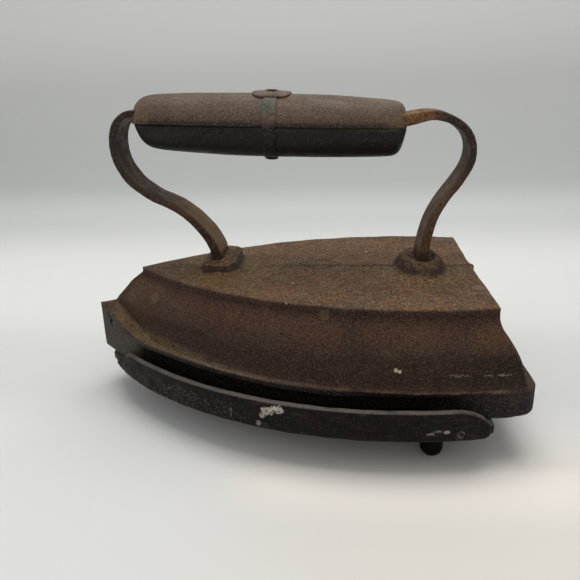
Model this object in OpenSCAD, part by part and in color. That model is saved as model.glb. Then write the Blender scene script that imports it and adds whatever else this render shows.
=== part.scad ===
// Solid cast flat iron with a forged strap handle, resting on a railed trivet.
// Millimetres, +Z up, +X toward the heel, +Y across.
// The origin is on the floor, at the centre of the whole object's footprint.

/* [Iron body] */
// Length of the base from the prow edge to the heel
base_length = 194; // [150:1:230]
// Width of the base at its widest station
base_width = 130; // [90:1:160]
// Distance from the prow edge to the widest station of the base
base_widest = 150; // [110:1:170]
// Radius of the two heel corners of the base
heel_corner = 9; // [3:0.5:20]
// Length of the flat deck from its point to its rear edge
deck_length = 155; // [110:1:190]
// Width of the flat deck at its widest station
deck_width = 108.4; // [70:0.2:140]
// Distance from the deck point to its widest station
deck_widest = 125; // [90:1:150]
// Height of the deck above the sole
body_height = 41.5; // [25:0.5:60]
// Thickness of the sole slab under the flared sides
slab_height = 10.9; // [5:0.1:16]
// How far the flared sides spread outward between the deck and the slab
flare = 11; // [5:0.5:18]
// Height of the prow block above the sole
prow_height = 23.5; // [12:0.5:30]
// Fall of the prow shoulders for each millimetre from the centre plane
shoulder_fall = 0.5; // [0.2:0.05:1]
// Depth of the recess that runs under the slab lip along each flank
recess_depth = 6; // [2:0.5:12]
// Thickness of the lip above the flank recess
lip_thickness = 2.4; // [1:0.2:5]

/* [Bosses] */
// Distance from the deck point to the front handle boss
front_boss_x = 38.5; // [25:0.5:55]
// Distance from the deck point to the rear handle boss
rear_boss_x = 132; // [100:0.5:145]
// Height of the handle bosses above the deck
boss_height = 7.5; // [3:0.5:15]
// Size of a boss along the iron, at the deck
boss_length = 24; // [18:0.5:34]
// Size of a boss across the iron, at the deck
boss_width = 37; // [24:0.5:50]

/* [Handle strap] */
// Width of the forged strap
strap_width = 17; // [8:0.5:24]
// Thickness of the forged strap
strap_thickness = 2.8; // [2:0.1:8]
// Thickness of the strap at its two feet
strap_foot_thickness = 4.6; // [2:0.1:10]
// Thickness of the strap where it leaves the rear end of the grip
strap_crown_thickness = 4.8; // [2:0.1:8]
// Height of the strap centreline above the deck at the front end of the grip
strap_front_height = 71; // [50:0.2:90]
// Height of the strap centreline above the deck at the rear end of the grip
strap_rear_height = 65.6; // [50:0.2:90]
// How deep the strap feet are set into the bosses and the deck
strap_foot_depth = 9; // [4:0.5:20]

/* [Grip] */
// Length of the barrel-shaped grip
grip_length = 118; // [90:1:140]
// Largest diameter of the grip
grip_diameter = 27; // [20:0.5:36]
// Loss of radius from the middle of the grip to its ends
grip_taper = 1.6; // [0:0.1:4]
// Further loss of radius at the upper rear end and the lower front end of the grip
grip_droop = 0.9; // [0:0.1:3]
// Height of the grip axis above the deck at the middle of the grip
grip_height = 64.4; // [50:0.2:80]
// Downward slope of the grip toward the heel, in degrees
grip_slope = 2.4; // [0:0.1:8]
// Sheet thickness of the two grip shells
shell_wall = 1.4; // [0.8:0.1:3]
// Width of the band around the middle of the grip
band_width = 5.6; // [3:0.2:12]
// How far the band and its plate sit behind the middle of the grip
band_shift = 1.4; // [-10:0.2:10]
// Thickness of the band around the middle of the grip
band_thickness = 0.3; // [0.3:0.1:2]
// Length of the saddle plate on top of the grip
plate_length = 16.5; // [10:0.5:30]
// Width of the saddle plate on top of the grip, measured flat across
plate_width = 15; // [6:0.5:20]

/* [Trivet] */
// Height from the floor to the top of the trivet plate
trivet_height = 19.3; // [12:0.1:40]
// Thickness of the trivet plate
trivet_thickness = 4; // [2:0.2:8]
// Width across the inner faces of the two rails at the widest station
trivet_width = 140.4; // [100:0.2:170]
// Radius of the long arcs of the trivet
trivet_arc = 170; // [120:1:240]
// Thickness of a rail
rail_thickness = 2.6; // [1.6:0.2:8]
// Height of a rail
rail_height = 12.2; // [6:0.2:20]
// How far a rail stands above the top of the plate
rail_rise = 7.9; // [2:0.1:15]
// Length of the long curve at the upper rear corner of a rail
rail_rear_curve = 14; // [4:0.5:24]
// Length of the long curve under the front end of a rail
rail_front_curve = 27; // [6:1:40]
// Diameter of a trivet foot
foot_diameter = 9.2; // [5:0.2:16]
// Distance between the centres of the two rear feet
rear_foot_span = 115; // [60:1:130]

/* [Display] */
// Which sub-part to make

/* [Hidden] */

$fn = 64;

// Clear space under the sole, so that the iron and the trivet are free of each other.
rest_gap = 0.3;
// Clear space around pieces that are put together.
ease = 0.05;

// Heights above the floor.
sole_z = trivet_height + rest_gap;
lip_z = sole_z + slab_height;
deck_z = sole_z + body_height;
prow_z = sole_z + prow_height;

// Stations along the iron.
prow_x = -base_length / 2;
heel_x = base_length / 2;
deck_tip_x = -73.4;
deck_rear_x = deck_tip_x + deck_length;

// Each plan outline is the overlap of two equal circles, one for each side.
function arc_radius(half, run) = (half * half + run * run) / (2 * half);
deck_arc = arc_radius(deck_width / 2, deck_widest);
deck_centre = [deck_tip_x + deck_widest, deck_arc - deck_width / 2];
base_arc = arc_radius(base_width / 2, base_widest);
base_centre = [prow_x + base_widest, base_arc - base_width / 2];

// The flared side is an S-curve: upright at the deck and upright again at the slab.
flare_steps = 12;
function flare_at(t) = flare * (1 - cos(180 * t)) / 2;
function flare_points(start) = [
    for (i = [0:flare_steps])
        let (t = i / flare_steps)
        [start + flare_at(t), deck_z - t * (deck_z - lip_z)]
];

// The prow ridge runs down from the deck point to the prow block.
ridge_top_drop = 2;
ridge_run = 15;
ridge_foot_z = prow_z + 0.6;
function ridge_radius(x) = norm([base_centre[0] - x, base_centre[1]]);

// Grip frame: the middle of the grip and its axis.
grip_x = deck_tip_x + 64;
grip_z = deck_z + grip_height;
grip_radius = grip_diameter / 2;
grip_steps = 40;
// The front end of the grip is rounder than the rear end.
function grip_end_round(u) = pow(max(0, 1 - pow(abs(u), u < 0 ? 14 : 34)), 1 / 3);
function grip_taper_at(u, side) = grip_taper + (side * u > 0 ? grip_droop : 0);
function grip_radius_at(u, side) =
    (grip_radius - grip_taper_at(u, side) * u * u) * grip_end_round(u);

// Strap stations.
strap_front_x = deck_tip_x + 6;
strap_rear_x = deck_tip_x + 122;
strap_front_z = deck_z + strap_front_height;
strap_rear_z = deck_z + strap_rear_height;
front_foot_x = deck_tip_x + front_boss_x;
rear_foot_x = deck_tip_x + rear_boss_x;

// Trivet stations.
trivet_centre = [deck_tip_x + 115, trivet_arc - trivet_width / 2];
rail_front_x = deck_tip_x - 12.6;
rail_rear_x = deck_tip_x + 151.6;
plate_front_x = deck_tip_x - 17.4;
plate_rear_x = deck_tip_x + 153.6;
plate_low_z = trivet_height - trivet_thickness;
rail_top_z = trivet_height + rail_rise;
rail_low_z = rail_top_z - rail_height;
foot_shank = 5;
rear_foot_stations = deck_tip_x + 131.8;
front_foot_station = deck_tip_x + 12;
rivet_stations = [deck_tip_x + 14, deck_tip_x + 66, deck_tip_x + 139.5];
rivet_shank = 2.2;
rivet_head = 3.2;
rivet_z = plate_low_z + 1.5;

cast_brown = [0.33, 0.26, 0.21];
strap_brown = [0.36, 0.27, 0.21];
shell_brown = [0.42, 0.36, 0.31];
shell_black = [0.13, 0.12, 0.12];
band_grey = [0.36, 0.36, 0.32];
packing_tan = [0.45, 0.34, 0.24];
trivet_black = [0.14, 0.11, 0.11];

// ---- outlines ----

module twin_arc(centre, radius) {
    intersection_for (side = [-1, 1])
        translate([centre[0], side * centre[1]])
            circle(r = radius, $fn = 128);
}

// Everything forward of the heel line, with rounded heel corners.
module heel_mask(rear_x, half, corner) {
    depth = 2 * base_length;
    translate([rear_x - corner - depth, -half])
        square([depth, 2 * half]);
    translate([rear_x - depth, -half + corner])
        square([depth, 2 * (half - corner)]);
    for (side = [-1, 1])
        translate([rear_x - corner, side * (half - corner)])
            circle(r = corner);
}

module base_outline(inset = 0) {
    intersection() {
        twin_arc(base_centre, base_arc - inset);
        heel_mask(heel_x - inset, base_width / 2 - 2.6 - inset, heel_corner);
    }
}

// ---- iron body ----

// Revolved side: the flared profile swept around the centre of one long arc.
module flank_sweep(side) {
    translate([deck_centre[0], side * deck_centre[1], 0])
        rotate_extrude($fn = 128)
            polygon(concat(
                [[0, deck_z]],
                [[deck_arc, deck_z]],
                flare_points(deck_arc),
                [[0, lip_z]]
            ));
}

// The same flare across the rear, as one long bar cut off upright at its other end.
module rear_sweep() {
    rotate([90, 0, 0])
        linear_extrude(height = 2 * base_width, center = true)
            polygon(concat(
                [[2 * prow_x, deck_z]],
                [[deck_rear_x, deck_z]],
                flare_points(deck_rear_x),
                [[2 * prow_x, lip_z]]
            ));
}

module flared_body() {
    intersection() {
        flank_sweep(-1);
        flank_sweep(1);
        rear_sweep();
    }
}

module ridge_sweep(side) {
    translate([base_centre[0], side * base_centre[1], 0])
        rotate_extrude($fn = 128)
            polygon([
                [0, deck_z - ridge_top_drop],
                [ridge_radius(deck_tip_x), deck_z - ridge_top_drop],
                [ridge_radius(deck_tip_x - ridge_run), ridge_foot_z],
                [ridge_radius(deck_tip_x - ridge_run), lip_z - 1],
                [0, lip_z - 1],
            ]);
}

module prow_ridge() {
    intersection() {
        ridge_sweep(-1);
        ridge_sweep(1);
        translate([prow_x, -base_width / 2, 0])
            cube([base_length / 3, base_width, deck_z]);
    }
}

// Prow block: the base outline under a low roof that falls to both sides.
module prow_block() {
    reach = (prow_z - lip_z) / shoulder_fall;
    intersection() {
        translate([0, 0, sole_z])
            linear_extrude(height = prow_height)
                base_outline();
        translate([prow_x - 1, 0, 0])
            rotate([90, 0, 90])
                linear_extrude(height = base_length / 3)
                    polygon([
                        [-reach, 0],
                        [reach, 0],
                        [reach, lip_z],
                        [0, prow_z],
                        [-reach, lip_z],
                    ]);
    }
}

// The recess dies out gradually toward the heel, so the front of the heel block is slanted.
module heel_block_outline() {
    start = deck_tip_x + 150;
    half = base_width / 2;
    fade = 20;
    polygon([
        [heel_x, -half - 1],
        [start, -half - 1],
        [start - fade, -half + recess_depth + 1],
        [start - fade, half - recess_depth - 1],
        [start, half + 1],
        [heel_x, half + 1],
    ]);
}

module slab() {
    translate([0, 0, lip_z - lip_thickness])
        linear_extrude(height = lip_thickness)
            base_outline();
    translate([0, 0, sole_z])
        linear_extrude(height = slab_height)
            base_outline(recess_depth);
    translate([0, 0, sole_z])
        linear_extrude(height = slab_height)
            intersection() {
                base_outline();
                union() {
                    translate([prow_x, -base_width])
                        square([deck_tip_x + 3 - prow_x, 2 * base_width]);
                    heel_block_outline();
                }
            }
}

// Oval boss with sloping sides, made of two cones and the wedge between them.
module oval_boss(length, width, height) {
    low = length / 2;
    high = low * 0.62;
    reach = width / 2 - low;
    for (side = [-1, 1])
        translate([0, side * reach, 0])
            cylinder(r1 = low, r2 = high, h = height);
    rotate([90, 0, 0])
        linear_extrude(height = 2 * reach, center = true)
            polygon([[-low, 0], [low, 0], [high, height], [-high, height]]);
}

// Square boss with steep sides, a wide bevel round its top and cut corners.
module square_boss(length, width, height) {
    shoulder = height * 0.66;
    intersection() {
        rotate([90, 0, 0])
            linear_extrude(height = width, center = true)
                polygon([
                    [-length / 2, 0],
                    [length / 2, 0],
                    [length * 0.46, shoulder],
                    [length * 0.33, height],
                    [-length * 0.33, height],
                    [-length * 0.46, shoulder],
                ]);
        rotate([90, 0, 90])
            linear_extrude(height = length, center = true)
                polygon([
                    [-width / 2, 0],
                    [width / 2, 0],
                    [width * 0.47, shoulder],
                    [width * 0.32, height],
                    [-width * 0.32, height],
                    [-width * 0.47, shoulder],
                ]);
        linear_extrude(height = height)
            polygon([
                for (turn = [[1, 1], [-1, 1], [-1, -1], [1, -1]])
                    for (k = turn[0] * turn[1] > 0 ? [0, 1] : [1, 0])
                        k == 0
                            ? [turn[0] * length / 2, turn[1] * width * 0.26]
                            : [turn[0] * length * 0.32, turn[1] * width / 2]
            ]);
    }
}

// Straight pocket that takes one foot of the strap.
module foot_pocket(x) {
    translate([
        x - strap_foot_thickness / 2 - ease,
        -strap_width / 2 - ease,
        deck_z + boss_height - strap_foot_depth - ease
    ])
        cube([strap_foot_thickness + 2 * ease, strap_width + 2 * ease, 2 * strap_foot_depth]);
}

module body_casting() {
    color(cast_brown)
        difference() {
            union() {
                flared_body();
                prow_ridge();
                prow_block();
                slab();
                translate([front_foot_x + 0.7, 2.2, deck_z - 1])
                    square_boss(boss_length - 7, boss_width - 4, boss_height + 0.5);
                translate([rear_foot_x - 0.6, 0, deck_z - 1])
                    oval_boss(boss_length - 3, boss_width + 2, boss_height - 1.5);
            }
            foot_pocket(front_foot_x);
            foot_pocket(rear_foot_x);
        }
}

// ---- handle strap ----

function bezier(p, t) =
    pow(1 - t, 3) * p[0]
    + 3 * pow(1 - t, 2) * t * p[1]
    + 3 * (1 - t) * t * t * p[2]
    + t * t * t * p[3];

curve_steps = 9;
function curve(p) = [for (i = [1:curve_steps]) bezier(p, i / curve_steps)];

// Centreline of the strap in the upright centre plane, from the front foot to the rear foot.
boss_z = deck_z + boss_height;
front_start = [front_foot_x, boss_z - strap_foot_depth];
front_rise = [front_foot_x, boss_z];
front_bend = [deck_tip_x + 17, deck_z + 32];
front_lean = [cos(22), -sin(22)];
front_loop = [deck_tip_x - 4, deck_z + 57.5];
front_end = [strap_front_x, strap_front_z];
rear_end = [strap_rear_x, strap_rear_z];
rear_top = [deck_tip_x + 132.4, deck_z + 67.4];
rear_loop = [deck_tip_x + 150.3, deck_z + 52];
rear_bend = [deck_tip_x + 136.4, deck_z + 26];
rear_lean = [cos(67), sin(67)];
rear_rise = [rear_foot_x, boss_z];
rear_start = [rear_foot_x, boss_z - strap_foot_depth];

strap_path = concat(
    [front_start, front_rise],
    curve([front_rise, front_rise + [0.6, 4], front_bend + 14 * front_lean, front_bend]),
    curve([front_bend, front_bend - 16 * front_lean, front_loop + [0, -10], front_loop]),
    curve([front_loop, front_loop + [0, 11], front_end + [-3, 0.1], front_end]),
    [rear_end],
    curve([rear_end, rear_end + [3.4, 0.3], rear_top + [-4, -0.2], rear_top]),
    curve([rear_top, rear_top + [8, 0], rear_loop + [0, 10], rear_loop]),
    curve([rear_loop, rear_loop + [0, -9.5], rear_bend + 10 * rear_lean, rear_bend]),
    curve([rear_bend, rear_bend - 8 * rear_lean, rear_rise + [0, 4], rear_rise]),
    [rear_start]
);

// The strap thickens toward its two feet, and over the crown behind the grip.
foot_taper = 20;
crown_taper = 24;
function strap_half(point) =
    let (
        foot = max(0, min(1, 1 - (point[1] - boss_z) / foot_taper)),
        high = max(0, min(1, (point[1] - deck_z - 40) / 10)),
        behind = point[0] - strap_rear_x,
        crown = behind < 0 || high == 0 ? 0 : high * max(0, 1 - behind / crown_taper),
        rear = abs(behind) < 0.01 ? 1 : crown
    )
    (
        strap_thickness
        + foot * (strap_foot_thickness - strap_thickness)
        + rear * (strap_crown_thickness - strap_thickness)
    ) / 2;

function unit(v) = v / norm(v);
function path_normal(path, i) =
    let (
        last = len(path) - 1,
        ahead = path[min(i + 1, last)],
        behind = path[max(i - 1, 0)],
        along = unit(ahead - behind)
    )
    [-along[1], along[0]];
function path_side(path, side) = [
    for (i = [0:len(path) - 1]) path[i] + side * strap_half(path[i]) * path_normal(path, i)
];

module handle_strap() {
    front_side = path_side(strap_path, 1);
    back_side = path_side(strap_path, -1);
    last = len(back_side) - 1;
    color(strap_brown)
        difference() {
            rotate([90, 0, 0])
                linear_extrude(height = strap_width, center = true)
                    polygon(concat(front_side, [for (i = [last:-1:0]) back_side[i]]));
            rivet_bore(0.1);
        }
}

// ---- grip ----

// Places children in the grip frame: origin at the middle, Z along the grip, X upward.
module on_grip() {
    translate([grip_x, 0, grip_z])
        rotate([0, 90 + grip_slope, 0])
            rotate([0, 0, 180])
                children();
}

// Places children in the grip frame at the middle of the band.
module on_band() {
    on_grip()
        translate([0, 0, band_shift])
            children();
}

// Barrel outline as a solid of revolution, drawn in by an inset, for one side of the seam.
module barrel(inset, side) {
    reach = grip_length / 2 - inset;
    rotate_extrude($fn = 96)
        polygon(concat(
            [[0, -reach]],
            [
                for (i = [0:grip_steps])
                    let (u = -cos(180 * i / grip_steps) * 0.995)
                    [grip_radius_at(u, side) - inset, u * reach]
            ],
            [[0, reach]]
        ));
}

// Half space on one side of the seam plane of the grip.
module seam_half(side, gap) {
    reach = grip_length;
    translate([side > 0 ? gap : -reach - gap, -reach, -reach])
        cube([reach, 2 * reach, 2 * reach]);
}

// Slot cut where the strap passes through, as thick as the strap is there.
module strap_slot(clearance) {
    run = strap_rear_x - strap_front_x;
    fall = strap_front_z - strap_rear_z;
    gain = strap_crown_thickness - strap_thickness;
    far = 12;
    function middle(d) = strap_front_z - fall * d / run;
    function half(d) = (strap_thickness + gain * max(0, d) / run) / 2 + clearance;
    rotate([90, 0, 0])
        linear_extrude(height = strap_width + 2 * clearance, center = true)
            polygon([
                for (d = [-far, run + far])
                    [strap_front_x + d, middle(d) - half(d)],
                for (d = [run + far, -far])
                    [strap_front_x + d, middle(d) + half(d)],
            ]);
}

module grip_shell(side, shade) {
    color(shade)
        difference() {
            on_grip()
                intersection() {
                    difference() {
                        barrel(0, side);
                        barrel(shell_wall, side);
                    }
                    seam_half(side, 0.02);
                }
            strap_slot(0.35);
            rivet_bore(0.1);
        }
}

module grip_upper_shell() {
    grip_shell(1, shell_brown);
}

module grip_lower_shell() {
    grip_shell(-1, shell_black);
}

// The strap lies between the two packing halves, so they part on its centreline.
module packing(side) {
    angle = atan2(strap_front_z - strap_rear_z, strap_rear_x - strap_front_x);
    middle = [(strap_front_x + strap_rear_x) / 2, 0, (strap_front_z + strap_rear_z) / 2];
    reach = grip_length;
    color(packing_tan)
        difference() {
            intersection() {
                on_grip()
                    intersection_for (half = [-1, 1])
                        barrel(shell_wall + 0.1, half);
                translate(middle)
                    rotate([0, angle, 0])
                        translate([-reach, -reach, side > 0 ? ease : -reach - ease])
                            cube([2 * reach, 2 * reach, reach]);
            }
            strap_slot(0.1);
            rivet_bore(0.1);
        }
}

module grip_packing_upper() {
    packing(1);
}

module grip_packing_lower() {
    packing(-1);
}

rivet_radius = 2;
module rivet_bore(clearance) {
    on_band()
        rotate([0, 90, 0])
            cylinder(r = rivet_radius + clearance, h = 3 * grip_diameter, center = true, $fn = 48);
}

band_rise = grip_radius + ease + band_thickness;

module grip_band() {
    color(band_grey)
        difference() {
            on_band()
                cylinder(r = band_rise, h = band_width, center = true, $fn = 96);
            on_band()
                cylinder(r = grip_radius + ease, h = 2 * band_width, center = true, $fn = 96);
            rivet_bore(0.1);
        }
}

// Saddle plate on top of the band, bent round the grip, with cut corners.
plate_thickness = 0.6;
plate_rise = band_rise + ease + plate_thickness;
module grip_top_plate() {
    long = plate_length / 2;
    wide = plate_width / 2;
    cut = 2.5;
    color(band_grey)
        difference() {
            intersection() {
                on_band()
                    cylinder(r = plate_rise, h = 2 * plate_length, center = true, $fn = 96);
                on_band()
                    rotate([0, 90, 0])
                        linear_extrude(height = 2 * grip_diameter)
                            polygon([
                                [long, wide - cut], [long - cut, wide],
                                [cut - long, wide], [-long, wide - cut],
                                [-long, cut - wide], [cut - long, -wide],
                                [long - cut, -wide], [long, cut - wide],
                            ]);
            }
            on_band()
                cylinder(r = band_rise + ease, h = 3 * plate_length, center = true, $fn = 96);
            rivet_bore(0.1);
        }
}

// Clinched rivet that ties the plate, the band, the shells and the strap together.
module grip_rivet() {
    head_height = 0.6;
    low = -band_rise - ease;
    high = plate_rise + ease;
    color(band_grey)
        on_band()
            rotate([0, 90, 0]) {
                translate([0, 0, low - 0.2])
                    cylinder(r = rivet_radius, h = high - low + 0.4, $fn = 48);
                translate([0, 0, low - head_height])
                    cylinder(r1 = rivet_radius + 0.4, r2 = rivet_radius + 1, h = head_height, $fn = 48);
                translate([0, 0, high])
                    cylinder(r1 = rivet_radius + 1.2, r2 = rivet_radius + 0.4, h = head_height, $fn = 48);
            }
}

// ---- trivet ----

module trivet_plate() {
    color(trivet_black)
        difference() {
            translate([0, 0, plate_low_z])
                linear_extrude(height = trivet_thickness)
                    intersection() {
                        twin_arc(trivet_centre, trivet_arc);
                        heel_mask(plate_rear_x, trivet_width / 2, 6);
                        translate([plate_front_x, -trivet_width / 2])
                            square([plate_rear_x - plate_front_x, trivet_width]);
                    }
            rail_bores(-1);
            rail_bores(1);
            for (spot = foot_spots())
                translate([spot[0], spot[1], 0])
                    cylinder(r = foot_shank / 2 + ease, h = 3 * trivet_height);
        }
}

function foot_spots() = [
    [front_foot_station, 0],
    [rear_foot_stations, rear_foot_span / 2],
    [rear_foot_stations, -rear_foot_span / 2],
];

// Quarter of an ellipse around a corner centre, between two angles.
function corner_arc(centre, size, start) = [
    for (i = [0:10])
        let (a = start + 90 * i / 10)
        [centre[0] + size[0] * cos(a), centre[1] + size[1] * sin(a)]
];

// A rail seen from the side: a low tongue and a bow at the front, a long curve at the rear.
module rail_elevation() {
    length = rail_rear_x - rail_front_x;
    tongue = 5;
    tongue_low = 3.4;
    tongue_high = 4;
    bow = 8.9;
    rear_low = 2.6;
    rear_high = rail_height - rear_low;
    polygon(concat(
        corner_arc([rail_front_curve, tongue_low], [rail_front_curve, tongue_low], 180),
        corner_arc([length - rear_low, rear_low], [rear_low, rear_low], 270),
        corner_arc([length - rail_rear_curve, rear_low], [rail_rear_curve, rear_high], 0),
        corner_arc([tongue + bow, tongue_high], [bow, rail_height - tongue_high], 90)
    ));
}

module trivet_rail(side) {
    color(trivet_black)
        difference() {
            intersection() {
                translate([trivet_centre[0], -side * trivet_centre[1], 0])
                    difference() {
                        cylinder(r = trivet_arc + rail_thickness, h = 3 * trivet_height, $fn = 128);
                        translate([0, 0, -1])
                            cylinder(r = trivet_arc, h = 4 * trivet_height, $fn = 128);
                    }
                translate([rail_front_x, side > 0 ? base_width : 0, rail_low_z])
                    rotate([90, 0, 0])
                        linear_extrude(height = base_width)
                            rail_elevation();
            }
            rail_bores(side);
        }
}

module trivet_rail_left() {
    trivet_rail(-1);
}

module trivet_rail_right() {
    trivet_rail(1);
}

// Places children on the outer face of a rail, with Z pointing out of the trivet.
module at_rail_rivets(side) {
    for (x = rivet_stations) {
        run = x - trivet_centre[0];
        lean = asin(run / (trivet_arc + rail_thickness));
        reach = trivet_arc + rail_thickness;
        translate([x, side * (reach * cos(lean) - trivet_centre[1]), rivet_z])
            rotate([-side * 90, 0, 0])
                rotate([0, lean, 0])
                    children();
    }
}

module rail_bores(side) {
    at_rail_rivets(side)
        translate([0, 0, -rail_thickness - 8])
            cylinder(r = rivet_shank / 2 + ease, h = 30, $fn = 32);
}

module rail_rivets(side) {
    color(trivet_black)
        at_rail_rivets(side) {
            translate([0, 0, -rail_thickness - 7])
                cylinder(r = rivet_shank / 2, h = rail_thickness + 7.2, $fn = 32);
            translate([0, 0, ease])
                cylinder(r1 = rivet_head / 2, r2 = rivet_head / 2 - 0.5, h = 0.45, $fn = 32);
        }
}

module rail_rivets_left() {
    rail_rivets(-1);
}

module rail_rivets_right() {
    rail_rivets(1);
}

// Round peg foot: a domed end with a small flat tip, and a shank that is set into the plate.
dome_steps = 8;
module trivet_foot(spot) {
    radius = foot_diameter / 2;
    color(trivet_black)
        translate([spot[0], spot[1], 0])
            rotate_extrude()
                polygon(concat(
                    [[0, 0]],
                    [
                        for (i = [0:dome_steps])
                            let (lean = 24 + 66 * i / dome_steps)
                            [radius * sin(lean), radius * (cos(24) - cos(lean))]
                    ],
                    [
                        [radius, plate_low_z],
                        [foot_shank / 2, plate_low_z],
                        [foot_shank / 2, trivet_height - 0.2],
                        [0, trivet_height - 0.2],
                    ]
                ));
}

module trivet_foot_front() {
    trivet_foot(foot_spots()[0]);
}

module trivet_foot_rear_left() {
    trivet_foot(foot_spots()[2]);
}

module trivet_foot_rear_right() {
    trivet_foot(foot_spots()[1]);
}

// ---- assembly ----

body_casting();
handle_strap();
grip_upper_shell();
grip_lower_shell();
grip_packing_upper();
grip_packing_lower();
grip_band();
grip_top_plate();
grip_rivet();
trivet_plate();
trivet_rail_left();
trivet_rail_right();
rail_rivets_left();
rail_rivets_right();
trivet_foot_front();
trivet_foot_rear_left();
trivet_foot_rear_right();
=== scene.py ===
import math

import bmesh
import bpy
import numpy as np
from mathutils import Matrix, Vector, noise


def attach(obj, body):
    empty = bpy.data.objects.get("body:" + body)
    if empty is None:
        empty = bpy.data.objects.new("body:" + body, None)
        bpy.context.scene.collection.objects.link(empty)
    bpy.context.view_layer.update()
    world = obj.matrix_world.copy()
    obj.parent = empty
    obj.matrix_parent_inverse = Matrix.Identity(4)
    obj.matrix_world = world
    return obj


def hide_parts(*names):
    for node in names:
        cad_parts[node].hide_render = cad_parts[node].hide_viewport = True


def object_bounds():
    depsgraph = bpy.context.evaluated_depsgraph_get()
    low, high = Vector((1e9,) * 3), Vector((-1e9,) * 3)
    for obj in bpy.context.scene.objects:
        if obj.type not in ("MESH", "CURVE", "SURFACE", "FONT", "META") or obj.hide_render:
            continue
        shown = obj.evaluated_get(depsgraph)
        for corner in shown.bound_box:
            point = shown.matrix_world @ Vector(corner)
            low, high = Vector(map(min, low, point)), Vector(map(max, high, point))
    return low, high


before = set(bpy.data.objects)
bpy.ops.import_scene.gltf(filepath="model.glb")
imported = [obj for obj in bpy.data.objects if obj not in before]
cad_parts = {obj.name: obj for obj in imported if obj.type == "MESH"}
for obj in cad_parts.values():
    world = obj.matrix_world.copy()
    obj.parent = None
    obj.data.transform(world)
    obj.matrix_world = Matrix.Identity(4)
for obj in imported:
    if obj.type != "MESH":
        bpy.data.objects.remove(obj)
cad_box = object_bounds()
MM = 0.001

# Heights (Z) and stations (X) shared with the CAD, in millimetres.
SOLE_Z = 19.6
LIP_Z = 30.5
PROW_Z = 43.1
DECK_Z = 61.1
FRONT_BOSS_Z, REAR_BOSS_Z = 68.1, 66.1
LIP_LIFT = 2.6
FRONT_FOOT_X, REAR_FOOT_X = -34.9, 58.6
PROW_X, HEEL_X, DECK_REAR_X = -97.0, 97.0, 81.6
# Each boss: middle in x and y, half its length and half its width.
FRONT_BOSS = (FRONT_FOOT_X + 0.7, 2.2, 8.5, 16.5)
REAR_BOSS = (REAR_FOOT_X - 0.6, 0.0, 10.3, 19.2)
GRIP_MIDDLE_X = -9.4
GRIP_MIDDLE = np.array([GRIP_MIDDLE_X, 0.0, 125.5])
GRIP_HALF, GRIP_RADIUS, GRIP_TAPER, GRIP_DROOP = 59.0, 13.5, 1.6, 0.9
SLOPE = math.radians(2.4)
ALONG = np.array([math.cos(SLOPE), 0.0, -math.sin(SLOPE)])
ABOVE = np.array([math.sin(SLOPE), 0.0, math.cos(SLOPE)])
ACROSS = np.array([0.0, 1.0, 0.0])
BAND_SHIFT, BAND_WIDTH, BAND_RISE = 1.4, 5.6, 13.85
PLATE_RISE = 14.5
RAIL_TOP = 27.2
# The camera: place in metres; angles round, down and roll in degrees; focal length on a 36 mm sensor.
CAMERA_PLACE = (0.0225, -0.2616, 0.1453)
CAMERA_ANGLES = (5.43, 20.09, -1.77)
CAMERA_LENS = 36.31

# The marks below were located with a measuring script, which cast rays from places in the photo
# through the fitted camera onto the part. Most of the centres are the answers of that measurement,
# typed in here.
# The others were moved or added one by one. This is an open fault.
# Single marks on the body: centre and radius in millimetres, and colour. The last three, near black,
# are painted shade in the blow holes.
BODY_MARKS = (
    ((1.3, -23.6, 61.3), 0.5, (226, 222, 210)),
    ((34.4, 24.1, 61.3), 0.6, (222, 200, 170)),
    ((0.3, -46.3, 60.4), 0.4, (180, 166, 148)),
    ((42.7, -62.9, 40.1), 0.8, (186, 162, 136)),
    ((44.1, -62.9, 39.6), 0.7, (196, 176, 150)),
    ((18.8, 23.4, 61.3), 0.6, (30, 22, 18)),
    ((15.5, -51.0, 57.5), 2.4, (98, 79, 60)),
    ((-63.7, -15.2, 50.7), 2.6, (106, 86, 66)),
    ((78.2, -29.6, 61.2), 2.6, (124, 106, 88)),
    ((-89.9, -7.1, 35.3), 1.25, (8, 6, 6)),
    ((-89.2, -7.9, 33.6), 0.9, (12, 9, 9)),
    ((-91.5, -5.6, 37.8), 0.8, (20, 17, 16)),
)
# Scrapes low on the near flank by the heel: centre, radius and strength.
SCRAPES = (
    ((77.5, -62.0, 38.1), 1.6, 0.6),
    ((83.0, -61.4, 38.0), 2.0, 0.6),
    ((66, -63, 38.4), 2.5, 0.3),
)
# Blow holes low on the near side of the prow: centre, radius and depth.
BLOW_HOLES = (
    ((-89.9, -7.1, 35.3), 1.3, 1.8),
    ((-91.5, -5.6, 37.8), 0.9, 0.9),
)
# Paint chips and scratches on the near rail: centre, radius, raggedness, squash, colour, strength.
RAIL_CHIPS = (
    ((-2.6, -67.3, 24.6), 2.2, 0.8, (0.8, 1, 1.2), (196, 186, 174), 0.9),
    ((-6.6, -66.4, 23.4), 2.0, 0.8, (0.7, 1, 1.1), (186, 175, 162), 0.85),
    ((-8.6, -65.6, 21.0), 1.3, 0.8, (1, 1, 1), (176, 164, 152), 0.75),
    ((-10.4, -65.0, 17.2), 1.2, 0.8, (1, 1, 1), (150, 140, 130), 0.7),
    ((-21.9, -61.2, 20.0), 2.8, 0.5, (9, 1, 1), (120, 114, 108), 0.6),
    ((55.4, -72.0, 18.8), 1.4, 0.8, (0.8, 1, 2.2), (150, 142, 134), 0.75),
    ((58.0, -71.9, 19.8), 1.6, 0.8, (0.7, 1, 3.0), (130, 122, 116), 0.7),
    ((61.4, -71.8, 19.4), 1.2, 0.8, (0.9, 1, 1.4), (158, 150, 142), 0.8),
)
# The lozenge on the deck: centre, half length, half width and line width.
DECK_LOZENGE = ((12, 2.6), 10, 8, 0.17)
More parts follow.
